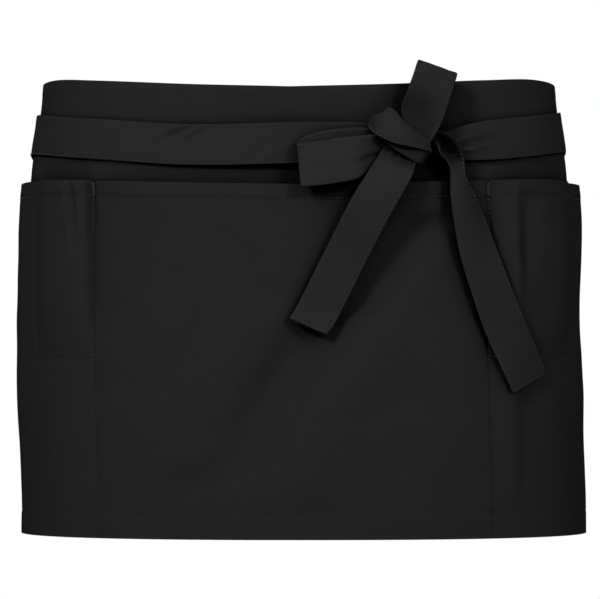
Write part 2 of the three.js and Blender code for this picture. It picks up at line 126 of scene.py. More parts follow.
def sectionAt(drop):
    share = round(min(max(drop / apronHeight, 0), 1), 5)
    if share not in sectionCache:
        halfWidth = hipHalfWidth * readTable(bodySections, 1, share)
        halfDepth = hipHalfDepth * readTable(bodySections, 2, share)
        shift = hipHalfWidth * readTable(bodySections, 3, share)
        angle = np.linspace(0, math.pi, 1441)
        power = 2 / sectionFullness
        c = np.cos(angle)
        x = halfWidth * np.abs(np.sin(angle)) ** power
        y = -halfDepth * np.sign(c) * np.abs(c) ** power
        length = np.concatenate([[0], np.cumsum(np.hypot(np.diff(x), np.diff(y)))])
        sectionCache[share] = (halfWidth, halfDepth, shift, x, y, length)
    return sectionCache[share]


def onSection(section, around):  # around may be an array
    halfWidth, halfDepth, shift, xs, ys, length = section
    halfRound = length[-1]
    signed = (np.asarray(around, float) + halfRound) % (2 * halfRound) - halfRound
    side = np.where(signed < 0, -1.0, 1.0)
    x = np.interp(np.abs(signed), length, xs)
    y = np.interp(np.abs(signed), length, ys)
    power = sectionFullness - 1
    nx = (x / halfWidth) ** power / halfWidth
    ny = np.sign(y) * (np.abs(y) / halfDepth) ** power / halfDepth
    size = np.hypot(nx, ny)
    return side * x + shift, y, side * nx / size, ny / size


def heightAt(around, drop):
    share = min(1, abs(around - apronShift) / halfApron)
    rise = apronHeight * readTable(waistEdge, 1, share)
    return waistAboveBelt - drop + rise * (1 - min(max(drop / apronHeight, 0), 1)) ** 2


def dropAt(around, z):
    drop = waistAboveBelt - z
    for _ in range(6):
        drop += heightAt(around, drop) - z
    return drop


def pocketStandOff(around, drop):
    below = drop - pocketDrop
    k = 0
    while k < len(pockets) - 1 and around > seams[k + 1]:
        k += 1
    gape, keep, toHem = pockets[k]
    share = min(max((around - seams[k]) / (seams[k + 1] - seams[k]), 0), 1)
    across = 1 - abs(2 * share - 1) ** 4
    deep = min(max(below / (apronHeight - pocketDrop if toHem else sidePocketDepth), 0), 1)
    mouth = math.exp(-((below / sidePocketDepth / 0.4) ** 2))
    return layerGap + pocketGape * gape * across * mix(mouth, 1, keep) * (1 - deep ** (2 if toHem else 4))


pocketFolds = [  # from around, from drop, to around, to drop, width, height
    (0.425, 0.24, 0.425, 0.97, 0.32, 0.6),
    (0.46, 0.22, 0.455, 0.42, 0.3, -0.6),
    (0.2, 0.3, -0.16, 0.86, 0.9, -0.7),
]


def foldHeight(around, drop):
    height = 0
    for fromAround, fromDrop, toAround, toDrop, width, high in pocketFolds:
        t = min(max((drop / apronHeight - fromDrop) / (toDrop - fromDrop), 0), 1)
        along = float(smooth(4 * min(t, 1 - t)))
        middle = apronShift + halfApron * mix(fromAround, toAround, t)
        height += high * along * math.exp(-(((around - middle) / (width * tieWidth)) ** 2))
    return foldDepth * height


def pocketInner(around, drop):
    room = pocketStandOff(around, drop)
    return clothThickness + max(layerGap, room + foldHeight(around, drop))


def frontAt(x, z):
    drop = min(max(waistAboveBelt - z, 0), apronHeight)
    section = sectionAt(drop)
    mouth = float(smooth((drop - pocketDrop) / (pocketDrop / 4) + 1))

    def at(around):
        sx, sy, nx, ny = onSection(section, around)
        out = clothThickness + mouth * pocketInner(around, max(drop, pocketDrop))
        return float(sx + nx * out), float(sy + ny * out)

    low, high = -section[5][-1] / 2, section[5][-1] / 2
    for _ in range(28):
        middle = (low + high) / 2
        if at(middle)[0] < x:
            low = middle
        else:
            high = middle
    return at(low)[1]


def rough(points, size, seed):  # smooth noise at an array of points, about -1 to 1
    flat = points.reshape(-1, points.shape[-1])
    values = [noise.noise(Vector((p[0] / size, p[1] / size, seed))) for p in flat]
    return np.array(values).reshape(points.shape[:-1]) * 1.6


def ripples(points, table):  # height, size and seed of each
    return sum(high * rough(points, size, seed) for high, size, seed in table)


def steps(places, fine, coarse, near):  # fine close to the named places, then slowly coarser
    fineReach, growth = 5, 4
    out = [places[0]]
    while out[-1] < places[-1] - 1e-6:
        gap = min(abs(out[-1] - p) for p in near)
        step = fine if gap < fineReach else min(coarse, fine + gap / growth)
        out.append(min(out[-1] + step, places[-1]))
    return np.array(out)


def newPiece(name, verts, faces):  # verts in mm, with all faces turned outwards
    mesh = bpy.data.meshes.new(name)
    mesh.from_pydata((verts * mm).tolist(), [], faces)
    mesh.update()
    piece = bpy.data.objects.new(name, mesh)
    bpy.context.collection.objects.link(piece)
    bpy.ops.object.select_all(action="DESELECT")
    bpy.context.view_layer.objects.active = piece
    piece.select_set(True)
    bpy.ops.object.mode_set(mode="EDIT")
    bpy.ops.mesh.select_all(action="SELECT")
    bpy.ops.mesh.normals_make_consistent(inside=False)
    bpy.ops.object.mode_set(mode="OBJECT")
    return piece


def gridMesh(name, outer, inner, uv):  # the two faces of a cloth and the rim between them
    rows, columns = outer.shape[:2]
    behind = rows * columns
    ids = np.arange(behind).reshape(rows, columns)
    a, b, c, d = ids[:-1, :-1], ids[1:, :-1], ids[1:, 1:], ids[:-1, 1:]
    front = np.stack([a, b, c, d], -1).reshape(-1, 4)
    back = np.stack([a, d, c, b], -1).reshape(-1, 4) + behind

    def rim(line):
        p, q = line[:-1], line[1:]
        return np.stack([p, p + behind, q + behind, q], -1)

    rims = [rim(ids[:, 0]), rim(ids[::-1, -1]), rim(ids[0, ::-1]), rim(ids[-1, :])]
    faces = np.concatenate([front, back] + rims)
    verts = np.concatenate([outer.reshape(-1, 3), inner.reshape(-1, 3)])
    piece = newPiece(name, verts, faces.tolist())
    flatUv = np.concatenate([uv.reshape(-1, 2), uv.reshape(-1, 2)]) * mm
    layer = piece.data.uv_layers.new(name="cloth")
    loops = np.zeros(len(piece.data.loops), np.int64)
    piece.data.loops.foreach_get("vertex_index", loops)
    layer.data.foreach_set("uv", flatUv[loops].ravel())
    bpy.ops.object.shade_smooth_by_angle(angle=math.radians(50))
    return piece


def hexColor(code):  # sRGB hex to linear
    channels = [int(code[i:i + 2], 16) / 255 for i in (0, 2, 4)]
    linear = [c / 12.92 if c < 0.04045 else ((c + 0.055) / 1.055) ** 2.4 for c in channels]
    return (*linear, 1)


def newMaterial(name):
    material = bpy.data.materials.new(name)
    material.use_nodes = True
    return material


def addNode(tree, kind, inputs, **settings):  # an input is a value or the output that feeds it
    node = tree.nodes.get(kind) or tree.nodes.new(kind)  # get finds the shader that is there already
    for key, value in settings.items():
        setattr(node, key, value)
    for key, value in inputs.items():
        if isinstance(value, bpy.types.NodeSocket):
            tree.links.new(value, node.inputs[key])
        else:
            node.inputs[key].default_value = value
    return node


# dyed cotton twill: matt black with faint slanting lines, whose fuzz leaves no highlight, with painted shade
# darkening its colour in creases
cloth = {
    "twillPitch": 1.1,  # real lines lie about 0.6 mm apart, drawn coarser so that they show
    "yarn": 1.1,
    "mottle": 26,
    "fibre": 0.45,
    "relief": 0.22,
    "crevice": 38,  # painted shade: the cloth colour is darkened where other cloth is this near
    "creviceShadePower": 1.8,  # power of that painted shade
    "roughness": (0.78, 0.98),
}
waveRepeat = 0.314  # of a wave texture at scale 1


def clothMaterial(name, dark, light, twillAngle):
    material = newMaterial(name)
    tree = material.node_tree
    place = addNode(tree, "ShaderNodeUVMap", {}, uv_map="cloth").outputs["UV"]
    turn = addNode(tree, "ShaderNodeMapping", {
        "Vector": place, "Rotation": (0, 0, math.radians(twillAngle)),
    })
    lines = addNode(tree, "ShaderNodeTexWave", {
        "Vector": turn.outputs["Vector"], "Scale": waveRepeat / (cloth["twillPitch"] * mm),
        "Distortion": 0.6, "Detail": 2, "Detail Scale": 3,
    }, bands_direction="X")
    yarn, mottle, fibre = [
        addNode(tree, "ShaderNodeTexNoise", {
            "Vector": place, "Scale": 1 / (cloth[size] * mm), "Detail": detail,
        }).outputs["Fac"]
        for size, detail in (("yarn", 3), ("mottle", 4), ("fibre", 2))
    ]
    uneven = addNode(tree, "ShaderNodeMath", {0: yarn, 1: 0.6}, operation="MULTIPLY")
    weave = addNode(tree, "ShaderNodeMath", {
        0: lines.outputs["Fac"], 1: 0.55, 2: uneven.outputs["Value"],
    }, operation="MULTIPLY_ADD")
    dyed = addNode(tree, "ShaderNodeMath", {
        0: mottle, 1: 0.22, 2: weave.outputs["Value"],
    }, operation="MULTIPLY_ADD")
    ramp = addNode(tree, "ShaderNodeValToRGB", {"Fac": dyed.outputs["Value"]})
    for element, position, code in zip(ramp.color_ramp.elements, (0.3, 0.9), (dark, light)):
        element.position = position
        element.color = hexColor(code)
    # painted shade: ambient occlusion multiplies the base colour, darkening creases, recesses and the cloth
    # under the ties and bow
    crevice = addNode(tree, "ShaderNodeAmbientOcclusion", {"Distance": cloth["crevice"] * mm}, samples=8)
    deep = addNode(tree, "ShaderNodeMath", {
        0: crevice.outputs["AO"], 1: cloth["creviceShadePower"],
    }, operation="POWER")
    paintedShadeMix = addNode(tree, "ShaderNodeMix", {
        "Factor": 1.0, 6: ramp.outputs["Color"], 7: deep.outputs["Value"],
    }, data_type="RGBA", blend_type="MULTIPLY")  # its sockets 6, 7 and 2 hold the colours
    roughness = addNode(tree, "ShaderNodeMapRange", {
        "Value": yarn, "To Min": cloth["roughness"][0], "To Max": cloth["roughness"][1],
    })
    height = addNode(tree, "ShaderNodeMath", {
        0: fibre, 1: 0.4, 2: weave.outputs["Value"],
    }, operation="MULTIPLY_ADD")
    relief = addNode(tree, "ShaderNodeBump", {
        "Strength": 0.8, "Distance": cloth["relief"] * mm, "Height": height.outputs["Value"],
    })
    addNode(tree, "Principled BSDF", {
        "Base Color": paintedShadeMix.outputs[2], "Roughness": roughness.outputs["Result"],
        "Normal": relief.outputs["Normal"], "Specular IOR Level": 0,
    })
    return material


plyLength = 0.8


# spun polyester thread: smoother than the cloth, so each stitch catches a little light
def threadMaterial(name, dark, light):
    material = newMaterial(name)
    tree = material.node_tree
    place = addNode(tree, "ShaderNodeTexCoord", {})
    twist = addNode(tree, "ShaderNodeTexNoise", {
        "Vector": place.outputs["Object"], "Scale": 1 / (plyLength * mm),
    })
    ramp = addNode(tree, "ShaderNodeValToRGB", {"Fac": twist.outputs["Fac"]})
    for element, code in zip(ramp.color_ramp.elements, (dark, light)):
        element.color = hexColor(code)
    addNode(tree, "Principled BSDF", {
        "Base Color": ramp.outputs["Color"], "Roughness": 0.5, "Specular IOR Level": 0.05,
    })
    return material


twill = clothMaterial("twillCloth", "070707", "0e0e0e", 58)
tieTwill = clothMaterial("tieCloth", "080808", "0f0f0f", 40)
thread = threadMaterial("sewingThread", "070707", "101010")
highlightedTieThread = threadMaterial("highlightedTieThread", "0d0d0d", "181818")  # painted highlight: lighter than the pocket thread, standing in for the glint of the stitches on the folded edges
print("materials ready")

# camera first, so each piece can be looked at as it comes
camera = {"x": 0.66, "z": -107.25, "distance": 3200, "front": -118, "lens": 291}
cameraData = bpy.data.cameras.new("camera")
cameraData.lens = camera["lens"]
cameraData.sensor_width = 36
cameraData.clip_end = 60
cameraObject = bpy.data.objects.new("camera", cameraData)
cameraObject.location = (
    camera["x"] * mm, (camera["front"] - camera["distance"]) * mm, camera["z"] * mm,
)
cameraObject.rotation_euler = (math.pi / 2, 0, 0)
bpy.context.collection.objects.link(cameraObject)
bpy.context.scene.camera = cameraObject


def panelSurface(arounds, drops, outs):  # outs: rows x columns, from the body section
    points = np.zeros((len(drops), len(arounds), 3))
    for i, drop in enumerate(drops):
        x, y, nx, ny = onSection(sectionAt(drop), arounds)
        points[i, :, 0] = x + nx * outs[i]
        points[i, :, 1] = y + ny * outs[i]
        points[i, :, 2] = [heightAt(a, drop) for a in arounds]
    return points


def panelPiece(name, arounds, drops, innerOut, thickness):
    uv = np.zeros((len(drops), len(arounds), 2))
    uv[..., 0] = arounds[None, :]
    uv[..., 1] = -drops[:, None]
    outer = panelSurface(arounds, drops, innerOut + thickness)
    inner = panelSurface(arounds, drops, innerOut)
    return gridMesh(name, outer, inner, uv)


def flatPlaces(arounds, drops):
    return np.stack(np.meshgrid(arounds, drops), -1)


# the apron panel, in sight above the pockets and inside
apron = {
    "thickness": 1.1,
    "waistHem": 7.5,
    "ripples": [(0.35, 46, 1.5), (0.15, 17, 4.2)],  # height, size, seed
    "folds": [  # around, drop, width around, width down, lean, height
        (-120, 25, 14, 30, 0.2, 0.5),
        (-60, 48, 30, 9, 0.0, 0.45),
        (40, 20, 18, 30, -0.3, 0.5),
        (100, 40, 12, 26, 0.4, 0.6),
        (165, 30, 14, 40, 0.1, -0.5),
        (-200, 35, 18, 40, 0.0, -0.4),
    ],
}
arounds = steps([leftEdge, rightEdge], 1.2, 4.0, [leftEdge + 3, rightEdge - 3])
drops = steps([0, apronHeight], 1.0, 4.2, [3, 8, apronHeight - 4, apronHeight - 14])
places = flatPlaces(arounds, drops)
wrinkle = ripples(places, apron["ripples"])
for around, drop, wide, tall, lean, high in apron["folds"]:
    lying = places[..., 0] - around - lean * (places[..., 1] - drop)
    wrinkle += high * np.exp(-((lying / wide) ** 2) - ((places[..., 1] - drop) / tall) ** 2)
underPocket = smooth((pocketDrop + 6 - places[..., 1]) / 14)
apronOuts = 0.55 * wrinkle * underPocket
turned = smooth((apron["waistHem"] - places[..., 1]) / 1.2)
apronThick = apron["thickness"] + 0.15 * turned
apronPiece = panelPiece("apronCloth", arounds, drops, apronOuts, apronThick)
apronPiece.data.materials.append(twill)
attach(apronPiece, "root")
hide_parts("apron_panel")
print("apron panel", len(apronPiece.data.polygons))

# pocket panel: hem row under the mouth, seams, side pockets, folds
pocket = {
    "thickness": 1.15,
    "hemRow": 9.6,  # below the mouth
    "bottomHem": 14.5,  # above the lower edge
    "groove": 0.5,
    "seamWidth": 1.3,
    "hemWidth": 1.2,
    "seamPucker": 0.35,
    "hemPucker": 0.22,
    "lowerPucker": 0.16,
    "ripples": [(0.55, 60, 9.1), (0.22, 22, 2.7)],
    "seams": [(seams[2], 235), (seams[3], 235), (seams[1], 112), (seams[4], 118)],  # around, depth
    "bottoms": [  # around, depth, around, depth of the narrow pockets' lower rows
        (seams[1] + 2, 112, seams[2], sidePocketDepth), (seams[3], sidePocketDepth, seams[4] - 2, 117),
    ],
    "deepest": -6,  # no fold goes further in
    "creases": [  # around from/to, drop from/to, width, height
        (-160, 66, -153, 128, 2.6, 0.9),
        (-154, 66, -149, 126, 2.6, -1.5),
        (-146, 66, -144, 120, 2.6, 0.8),
        (-141, 66, -141, 112, 2.4, -1.2),
        (145, 66, 148, 250, 3.6, 0.7),
        (153, 78, 155, 140, 4.4, -1.3),
        (160, 165, 161, 285, 9.0, -0.8),
        (133, 66, 132, 76, 3.0, -0.8),
        (-20, 118, -5, 134, 12.0, 0.5),
        (92, 80, 34, 158, 15.0, -6.5),
        (26, 130, -48, 272, 20.0, -4.2),
        (-10, 134, -82, 268, 20.0, 3.3),
        (64, 146, -8, 288, 20.0, 2.6),
        (-60, 230, -30, 285, 16.0, 0.4),
        (186, 95, 190, 180, 10.0, 0.7),
        (-212, 90, -214, 200, 9.0, 0.6),
    ],
}
seamPlaces = [*seams[1:5], -154, 147, 153]
arounds = steps([leftEdge, rightEdge], 0.9, 3.4, seamPlaces)
drops = steps(
    [pocketDrop, apronHeight], 0.7, 3.6,
    [pocketDrop + 1, pocketDrop + pocket["hemRow"], apronHeight - pocket["bottomHem"], apronHeight - 1],
)
places = flatPlaces(arounds, drops)
around, drop = places[..., 0], places[..., 1]
below = drop - pocketDrop
inner = np.array([[pocketInner(a, d) for a in arounds] for d in drops])
shape = ripples(places, pocket["ripples"])
for fromAround, fromDrop, toAround, toDrop, wide, high in pocket["creases"]:
    t = np.clip((drop - fromDrop) / (toDrop - fromDrop), 0, 1)
    ends = smooth(5 * t) * smooth(5 * (1 - t))
    ends = np.where((drop < fromDrop) | (drop > toDrop), 0, ends)
    if fromDrop < pocketDrop + 3:  # runs out over the mouth
        ends = smooth((toDrop - drop) / (0.75 * (toDrop - fromDrop)))
    shape += high * ends * bump(around, mix(fromAround, toAround, t), wide)
pucker = rough(places * np.array([1.0, 0.35]), 5.5, 12.3)
puckerDown = rough(places * np.array([0.35, 1.0]), 5.5, 6.3)
groove = np.zeros_like(around)
for seam, depth in pocket["seams"]:
    reach = ((below >= 0) & (below <= depth)).astype(float)
    groove += reach * bump(around, seam, pocket["seamWidth"]) * pocket["groove"]
    shape += reach * pocket["seamPucker"] * puckerDown * bump(around, seam, 6)
for a0, a1 in ((seams[1], seams[2]), (seams[3], seams[4])):
    reach = ((around >= a0) & (around <= a1)).astype(float)
    groove += reach * bump(below, sidePocketDepth, pocket["seamWidth"]) * pocket["groove"]
groove += bump(below, pocket["hemRow"], pocket["hemWidth"]) * pocket["groove"]
shape += pocket["hemPucker"] * pucker * bump(below, pocket["hemRow"], 6)
hemUp = apronHeight - pocket["bottomHem"]
shape += pocket["lowerPucker"] * pucker * bump(drop, hemUp, 8)
layers = smooth((pocket["hemRow"] + 1.4 - below) / 0.9) + smooth((drop - hemUp) / 0.9)
room = smooth(below / 6) * smooth((apronHeight - drop) / 12)
pressed = np.maximum(shape, pocket["deepest"]) * mix(0.35, 1, room)
pocketOuts = np.maximum(clothThickness + 0.1, inner + pressed)
pocketThick = pocket["thickness"] + 0.28 * layers - groove * 0.8
pocketPiece = panelPiece("pocketCloth", arounds, drops, pocketOuts, pocketThick)
pocketPiece.data.materials.append(twill)
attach(pocketPiece, "root")
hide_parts("pocket_panel")
print("pocket panel", len(pocketPiece.data.polygons))


def pocketSurface(a, d, lift):  # point and normal on the finished pocket cloth
    i = int(np.clip(np.searchsorted(drops, d), 1, len(drops) - 1))
    j = int(np.clip(np.searchsorted(arounds, a), 1, len(arounds) - 1))
    u = np.clip((d - drops[i - 1]) / (drops[i] - drops[i - 1]), 0, 1)
    v = np.clip((a - arounds[j - 1]) / (arounds[j] - arounds[j - 1]), 0, 1)
    table = pocketOuts + pocketThick
    out = mix(mix(table[i - 1, j - 1], table[i - 1, j], v), mix(table[i, j - 1], table[i, j], v), u)
    x, y, nx, ny = onSection(sectionAt(d), a)
    out += lift
    point = np.array([float(x + nx * out), float(y + ny * out), heightAt(a, d)])
    return point, np.array([float(nx), float(ny), 0.0])


def stitchMesh(name, stitches, width, material):  # stitches: start, end, normal in mm
    sides, rings = 6, [(0.0, 0.35), (0.12, 0.8), (0.35, 1.0), (0.65, 1.0), (0.88, 0.8), (1.0, 0.35)]
    verts, faces = [], []
    for start, end, normal in stitches:
        along = end - start
        side = np.cross(normal, along)
        side /= max(np.linalg.norm(side), 1e-9)
        first = len(verts)
        for t, r in rings:
            arch = math.sin(math.pi * t) * width * 0.35
            for k in range(sides):
                turn = 2 * math.pi * k / sides
                lifted = normal * (math.sin(turn) * width * 0.4 * r + arch)
                verts.append(start + along * t + side * math.cos(turn) * width / 2 * r + lifted)
        for ring in range(len(rings) - 1):
            for k in range(sides):
                a, b = first + ring * sides + k, first + ring * sides + (k + 1) % sides
                faces.append((a, b, b + sides, a + sides))
        faces.append(tuple(first + k for k in reversed(range(sides))))
        faces.append(tuple(first + (len(rings) - 1) * sides + k for k in range(sides)))
    piece = newPiece(name, np.array(verts), faces)
    bpy.ops.object.shade_smooth()
    piece.data.materials.append(material)
    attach(piece, "root")
    return piece


stitchLift = 0.05  # of a stitch above its cloth
stitching = {
    "pitch": 3.1, "width": 0.62, "filled": 0.74, "wander": 0.12,  # filled: share of the pitch on top
    "tackWidth": 2.4, "tackHeight": 9.5, "tackCount": 16,
}


def rowOfStitches(start, end):  # on the pocket cloth, from and to around and drop
    (a0, d0), (a1, d1) = start, end
    count = max(1, round(math.hypot(a1 - a0, d1 - d0) / stitching["pitch"]))
    half = stitching["filled"] / 2
    row = []
    for i in range(count):
        shift = random.uniform(-stitching["wander"], stitching["wander"])
        ends = []
        for t in ((i + 0.5 - half) / count, (i + 0.5 + half) / count):
            a, d = mix(a0, a1, t), mix(d0, d1, t)
            if abs(a1 - a0) < abs(d1 - d0):
                a += shift
            else:
                d += shift
            ends.append(pocketSurface(a, d, stitchLift))
        row.append((ends[0][0], ends[1][0], ends[0][1]))
    return row


hemDrop = pocketDrop + pocket["hemRow"]
sewn = rowOfStitches((leftEdge + 2, hemDrop), (rightEdge - 2, hemDrop))
for seam, depth in pocket["seams"]:
    sewn += rowOfStitches((seam, pocketDrop + 1.5), (seam, pocketDrop + depth - 1))
for a0, depth0, a1, depth1 in pocket["bottoms"]:
    sewn += rowOfStitches((a0, pocketDrop + depth0), (a1, pocketDrop + depth1))
pocketStitches = stitchMesh("pocketStitches", sewn, stitching["width"], thread)
tacks = []
for seam in (seams[2], seams[3]):  # bar tacks at the pocket mouths
    for k in range(stitching["tackCount"]):
        d = pocketDrop + 1.2 + k * stitching["tackHeight"] / stitching["tackCount"]
        half = stitching["tackWidth"] / 2 * random.uniform(0.85, 1.1)
        a, b = pocketSurface(seam - half, d, 0.1), pocketSurface(seam + half, d + 0.25, 0.1)
        tacks.append((a[0], b[0], a[1]))
barTacks = stitchMesh("barTacks", tacks, 0.6, thread)
print("pocket stitches", len(sewn), len(tacks))

# the ties and the bow: ribbons through rows of a left, a middle and a right point


def spline(points, count):  # catmull-rom through the rows, as the solids have it
    p = np.array(points, float)
    padded = np.concatenate([[2 * p[0] - p[1]], p, [2 * p[-1] - p[-2]]])
    at = np.linspace(0, len(p) - 1, count)
    i = np.minimum(at.astype(int), len(p) - 2)
    t = (at - i)[:, None]
    a, b, c, d = padded[i], padded[i + 1], padded[i + 2], padded[i + 3]
    return 0.5 * (
        2 * b + (c - a) * t + (2 * a - 5 * b + 4 * c - d) * t**2 + (3 * b - a - 3 * c + d) * t**3
    )


tie = {
    "thickness": 1.15, "foldRadius": 0.9, "stitchIn": 1.1, "hemIn": 2.0,
    "beltPitch": 2.15, "endPitch": 3.05, "stitchWidth": 0.62, "filled": 0.7, "groove": 0.35,
}
sewnRows, hemRows = {}, {}


def runAlong(line):  # distance of each point from the first
    return np.concatenate([[0], np.cumsum(np.linalg.norm(np.diff(line, axis=0), axis=1))])


def ribbonGrid(rows, count, across, wrinkles):
    left = spline([r[0] for r in rows], count)
    middle = spline([r[1] for r in rows], count)
    right = spline([r[2] for r in rows], count)
    control = 2 * middle - 0.5 * left - 0.5 * right
    edge = 0.5 - 0.5 * np.cos(np.linspace(0, math.pi, across))
    u = mix(np.linspace(0, 1, across), edge, 0.6)[None, :, None]
    surface = left[:, None] * (1 - u) ** 2 + control[:, None] * 2 * u * (1 - u) + right[:, None] * u**2
    along = np.gradient(surface, axis=0)
    wide = np.gradient(surface, axis=1)
    normal = np.cross(along, wide)
    normal /= np.maximum(np.linalg.norm(normal, axis=-1, keepdims=True), 1e-9)
    uv = np.zeros((count, across, 2))
    uv[..., 0] = u[0, :, 0][None, :] * tieWidth
    uv[..., 1] = runAlong(surface[:, across // 2])[:, None]
    return surface + normal * wrinkles(uv)[..., None], normal, uv


def ribbonPiece(name, rows, count, across, wrinkles, sewnEdge="right"):
    surface, normal, uv = ribbonGrid(rows, count, across, wrinkles)
    fromEdge = np.minimum(uv[..., 0], tieWidth - uv[..., 0]) / tie["foldRadius"]
    roundEdge = np.sqrt(np.clip(fromEdge, 0.04, 1) * (2 - np.clip(fromEdge, 0, 1)))
    sewnAt = tieWidth - tie["stitchIn"] if sewnEdge == "right" else tie["stitchIn"]
    half = tie["thickness"] / 2 * mix(0.35, 1, roundEdge)
    half = half - 0.5 * tie["groove"] * bump(uv[..., 0], sewnAt, 1.1)
    piece = gridMesh(name, surface + normal * half[..., None], surface - normal * half[..., None], uv)
    piece.data.materials.append(tieTwill)
    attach(piece, "root")
    column = int(np.argmin(np.abs(uv[0, :, 0] - sewnAt)))
    lift = normal[:, column] * (half[:, column, None] + stitchLift)
    sewnRows[name] = [
        (surface[:, column] + lift, normal[:, column]), (surface[:, column] - lift, -normal[:, column]),
    ]
    last = int(np.searchsorted(uv[:, 0, 1], uv[-1, 0, 1] - tie["hemIn"]))
    hemLift = normal[last] * (half[last, :, None] + stitchLift)
    hemRows[name] = (surface[last] + hemLift, normal[last])
    return piece, float(uv[-1, 0, 1])


def stitchesOnLine(line, normals, pitch, clear):  # clear is left free at both ends
    run = runAlong(line)
    row = []
    for i in range(int((run[-1] - 2 * clear) / pitch)):
        ends = []
        for t in (i + 0.5 - tie["filled"] / 2, i + 0.5 + tie["filled"] / 2):
            s = clear + t * pitch
            ends.append(np.array([np.interp(s, run, line[:, k]) for k in range(3)]))
        middle = clear + (i + 0.5) * pitch
        normal = np.array([np.interp(middle, run, normals[:, k]) for k in range(3)])
        row.append((ends[0], ends[1], normal / np.linalg.norm(normal)))
    return row


# the two ties round the waist
wraps = {
    "left": [  # along, up, out, width
        (0.0, -0.1, 0.16, 0.92), (0.15, -0.13, 0.2, 1.0), (0.33, -0.17, 0.09, 1.0),
        (0.5, 0.01, 0.03, 1.0), (0.7, 0.15, 0.02, 1.0), (0.89, -0.38, 0.02, 1.0),
        (1.0, -0.38, 0.02, 1.0),
    ],
    "right": [
        (0.0, -0.1, 0.1, 0.5), (0.06, -0.17, 0.12, 0.64), (0.11, -0.12, 0.12, 0.84),
        (0.17, -0.05, 0.08, 0.96), (0.25, 0.02, 0.05, 1.0),
        (0.45, 0.2, 0.02, 1.0), (0.61, 0.22, 0.02, 1.0), (0.88, -0.38, 0.02, 1.0),
        (1.0, -0.38, 0.02, 1.0),
    ],
    "back": [
        (0.0, -0.38, 0.02, 1.0), (0.1, -0.36, 0.02, 1.0), (0.5, 0.17, 0.0, 1.0),
        (0.9, 0.7, 0.02, 1.0), (1.0, 0.72, 0.02, 1.0),
    ],
    "start": 0.25,
    "crossingOut": 0.085,
    "crossingEase": 0.09,
    "step": 6,
    "leftCreases": [  # along and wide in mm, lean, height, middle and spread across
        (150, 4.5, 2.2, -1.6, 6, 5), (158, 5, 2.2, 1.0, 7, 6), (132, 4.5, 2.0, -1.6, 5, 5),
        (140, 5, 2.1, 1.0, 7, 6), (88, 9, 1.5, -0.9, 17, 7), (78, 9, 1.5, 0.7, 15, 9),
        (215, 9, 0.8, 0.35, 13, 30),
    ],
    "rightCreases": [(70, 8, 0.8, 0.3, 13, 30)],
    "rightPleats": [(22, 1.8, 70, -2.8), (17.5, 2.2, 76, 2.0), (11, 2.4, 44, 0.7), (14, 1.5, 40, -0.7)],
}  # up, out and width are shares of tieWidth
beltSection = sectionAt(waistAboveBelt)
beltHalfRound = beltSection[5][-1]
knotAround = 0.0  # walked round the belt until it is behind the knot
while float(onSection(beltSection, knotAround)[0]) < knotAcross:
    knotAround += 0.25


def onBelt(around, up, out):
    z = up * tieWidth
    x, y, nx, ny = onSection(sectionAt(dropAt(around, z)), around)
    stand = clothThickness + layerGap + clothThickness / 2 + out * tieWidth
    return np.array([float(x + nx * stand), float(y + ny * stand), z])


def wrapRows(front, side, crossingOut):
    knot = side * knotAround + wraps["start"] * tieWidth
    panelEdge = abs(leftEdge) if side < 0 else rightEdge
    otherEdge = rightEdge if side < 0 else abs(leftEdge)
    root = 2 * beltHalfRound - otherEdge + tieRootLength
    stretches = ((front, knot, panelEdge, 0), (wraps["back"], panelEdge, root, crossingOut))
    rows = []
    for table, start, end, crossing in stretches:
        count = math.ceil((end - start) / wraps["step"])
        for i in range(1 if rows else 0, count + 1):
            t = i / count
            up, out, width = (readTable(table, k, t) for k in (1, 2, 3))
            out += crossing * float(smooth(min(t, 1 - t) / wraps["crossingEase"]))
            place = mix(start, end, t)
            rows.append([onBelt(side * place, up + o, out) for o in (width / 2, 0, -width / 2)])
    return rows


def pleatsFromKnot(uv, pleats):  # each one across, width, length and height in mm
    value = 0
    for across, wide, long, high in pleats:
        fades = smooth(1.4 * (1 - uv[..., 1] / long)) * (uv[..., 1] < long)
        value = value + high * fades * bump(uv[..., 0] + 0.08 * uv[..., 1], across, wide)
    return value


def wrapWrinkles(seed, creases, pleats=()):
    def lift(uv):
        value = 0.16 * rough(uv * np.array([1.0, 0.5]), 9, seed) + 0.2 * rough(uv, 30, seed + 3)
        for at, wide, lean, high, middle, spread in creases:
            place = uv[..., 1] - at - lean * (uv[..., 0] - middle)
            value = value + high * bump(place, 0, wide) * bump(uv[..., 0], middle, spread)
        return value + pleatsFromKnot(uv, pleats)
    return lift


leftRows = wrapRows(wraps["left"], -1, 0)
rightRows = wrapRows(wraps["right"], 1, wraps["crossingOut"])
leftWrap, leftLength = ribbonPiece(
    "wrapLeftCloth", leftRows, len(leftRows) * 3, 17, wrapWrinkles(3.3, wraps["leftCreases"]),
)
rightWrap, rightLength = ribbonPiece(
    "wrapRightCloth", rightRows, len(rightRows) * 3, 17,
    wrapWrinkles(8.1, wraps["rightCreases"], wraps["rightPleats"]),
)
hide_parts("tie_wrap_left")
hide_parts("tie_wrap_right")
print("wraps", round(leftLength), round(rightLength))


def bowPoint(across, up, out):
    x, z = knotAcross + across * tieWidth, knotUp + up * tieWidth
    return np.array([x, frontAt(x, z) - out * tieWidth, z])


def bowRows(table):
    rows = []
    for row in table:
        acrossL, upL, outL, acrossR, upR, outR, *belly = row
        left, right = bowPoint(acrossL, upL, outL), bowPoint(acrossR, upR, outR)
        middle = (left + right) / 2
        middle[1] -= (belly[0] if belly else 0) * tieWidth
        middle[0] += (belly[1] if len(belly) > 1 else 0) * tieWidth
        rows.append((left, middle, right))
    return rows


